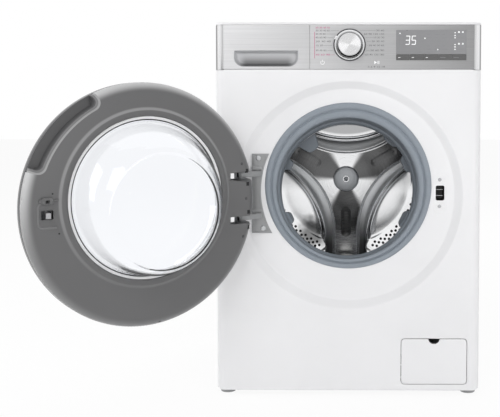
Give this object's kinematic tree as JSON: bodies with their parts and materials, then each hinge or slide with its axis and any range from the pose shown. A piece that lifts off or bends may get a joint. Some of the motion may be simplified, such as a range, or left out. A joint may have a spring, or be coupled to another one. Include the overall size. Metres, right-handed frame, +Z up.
{
  "type": "washer dryer",
  "caption": "Free-standing front-loading washer dryer with a round glass door, a steel drum, a detergent drawer and a dial panel.",
  "frame": {"origin": "on the floor, in the middle of the four feet", "axes": "+Z up, +X to the right of someone facing the machine, -Y towards them"},
  "size_m": [0.9509, 0.9094, 0.85],
  "materials": {
    "white_steel": "smooth white paint",
    "zinc_steel": "plain galvanised sheet",
    "silver_plastic": "brushed silver film",
    "white_plastic": "smooth",
    "grey_plastic": "fine matt grain",
    "dark_plastic": "dark gloss",
    "tub_plastic": "filled plastic",
    "housing_plastic": "plain",
    "display_glass": "black gloss",
    "chrome": "bright plated plastic",
    "polished_steel": "polished stainless",
    "steel": "machined",
    "aluminium": "cast",
    "glass": "clear",
    "window_plastic": "clear acrylic",
    "rubber": "soft blue grey",
    "black_rubber": "matt",
    "concrete": "cast weight",
    "copper": "wound copper over steel",
    "water_blue": "plain"
  },
  "bodies": {
    "cabinet": {"front_panel": "white_steel", "side_panel_left": "white_steel", "side_panel_right": "white_steel", "rear_panel": "zinc_steel", "rear_access_cover": "zinc_steel", "top_lid": "white_plastic", "upper_frame": "zinc_steel", "control_fascia": "silver_plastic", "fascia_end_caps": "silver_plastic", "display_panel": "display_glass", "dial_ring": "chrome", "control_board_box": "housing_plastic", "dispenser_housing": "housing_plastic", "inlet_valve": "water_blue", "drain_outlet": "grey_plastic", "cord_gland": "black_rubber", "door_hinge_bracket": "zinc_steel", "cabinet_screws": "steel", "door_lock": "dark_plastic", "power_board_box": "grey_plastic", "drain_pump": "housing_plastic", "damper_cylinders": "grey_plastic", "base_frame": "grey_plastic", "door_gasket": "rubber", "suspension_springs": "steel", "tub_pump_hose": "black_rubber", "fill_bellows": "black_rubber"},
    "foot_front_left": {"levelling_foot_front_left": "dark_plastic"},
    "foot_front_right": {"levelling_foot_front_right": "dark_plastic"},
    "foot_rear_left": {"levelling_foot_rear_left": "dark_plastic"},
    "foot_rear_right": {"levelling_foot_rear_right": "dark_plastic"},
    "tub": {"tub_front": "tub_plastic", "tub_rear": "tub_plastic", "counterweights": "concrete", "water_heater": "steel", "motor_stator": "copper", "shaft_bearings": "steel", "condenser_duct": "housing_plastic", "drying_fan_housing": "aluminium", "drying_heater_duct": "aluminium", "damper_pistons": "grey_plastic"},
    "drum": {"drum_shell": "polished_steel", "drum_back": "polished_steel", "drum_lifters": "polished_steel", "drum_spider": "aluminium", "motor_rotor": "steel", "hub_cap": "polished_steel"},
    "fan": {"fan_impeller": "dark_plastic"},
    "pump": {"pump_impeller": "dark_plastic"},
    "filter": {"drain_filter": "grey_plastic"},
    "hatch": {"service_hatch": "white_plastic"},
    "drawer": {"drawer_front": "silver_plastic", "drawer_tray": "white_plastic"},
    "dial": {"dial_knob": "silver_plastic"},
    "door": {"door_ring": "grey_plastic", "door_outer_shell": "chrome", "door_window": "window_plastic", "door_bowl": "glass", "door_hinge_plate": "zinc_steel"},
    "latch": {"latch_hook": "steel"}
  },
  "joints": [
    {"name": "door_hinge", "type": "hinge", "parent": "cabinet", "child": "door", "pos_m": [-0.238, -0.3135, 0.46], "axis": [0, 0, 1], "range_deg": [0, 146]},
    {"name": "latch_pivot", "type": "hinge", "parent": "door", "child": "latch", "pos_m": [-0.5934, -0.58579, 0.455], "axis": [0, 0, 1], "range_deg": [0, 10], "stiffness_Nm_per_rad": 0.05},
    {"name": "drawer_slide", "type": "slide", "parent": "cabinet", "child": "drawer", "axis": [0, -1, 0], "range_m": [0, 0.2]},
    {"name": "dial_turn", "type": "hinge", "parent": "cabinet", "child": "dial", "pos_m": [0.0024, -0.2825, 0.8], "axis": [0, 1, 0], "continuous": true},
    {"name": "hatch_hinge", "type": "hinge", "parent": "cabinet", "child": "hatch", "pos_m": [0.1956, -0.276, 0.0422], "axis": [1, 0, 0], "range_deg": [0, 90]},
    {"name": "filter_turn", "type": "hinge", "parent": "cabinet", "child": "filter", "pos_m": [0.195, -0.2525, 0.086], "axis": [0, -1, 0], "range_deg": [0, 450]},
    {"name": "pump_spin", "type": "hinge", "parent": "cabinet", "child": "pump", "pos_m": [0.195, -0.1475, 0.086], "axis": [0, 1, 0], "continuous": true},
    {"name": "tub_float", "type": "slide", "parent": "cabinet", "child": "tub", "axis": [0, 0, 1], "range_m": [-0.008, 0.008], "stiffness_N_per_m": 20000, "springref_m": 0.03041, "deforming": ["door_gasket", "suspension_springs", "tub_pump_hose", "fill_bellows"]},
    {"name": "drum_spin", "type": "hinge", "parent": "tub", "child": "drum", "pos_m": [0, 0.1495, 0.46], "axis": [0, 1, 0], "continuous": true},
    {"name": "fan_spin", "type": "hinge", "parent": "tub", "child": "fan", "pos_m": [0.12, 0.1075, 0.77], "axis": [0, 0, 1], "continuous": true},
    {"name": "foot_front_left_turn", "type": "hinge", "parent": "cabinet", "child": "foot_front_left", "pos_m": [-0.278, -0.2425, 0], "axis": [0, 0, 1], "continuous": true},
    {"name": "foot_rear_left_turn", "type": "hinge", "parent": "cabinet", "child": "foot_rear_left", "pos_m": [-0.278, 0.2425, 0], "axis": [0, 0, 1], "continuous": true},
    {"name": "foot_front_right_turn", "type": "hinge", "parent": "cabinet", "child": "foot_front_right", "pos_m": [0.278, -0.2425, 0], "axis": [0, 0, 1], "continuous": true},
    {"name": "foot_rear_right_turn", "type": "hinge", "parent": "cabinet", "child": "foot_rear_right", "pos_m": [0.278, 0.2425, 0], "axis": [0, 0, 1], "continuous": true}
  ]
}
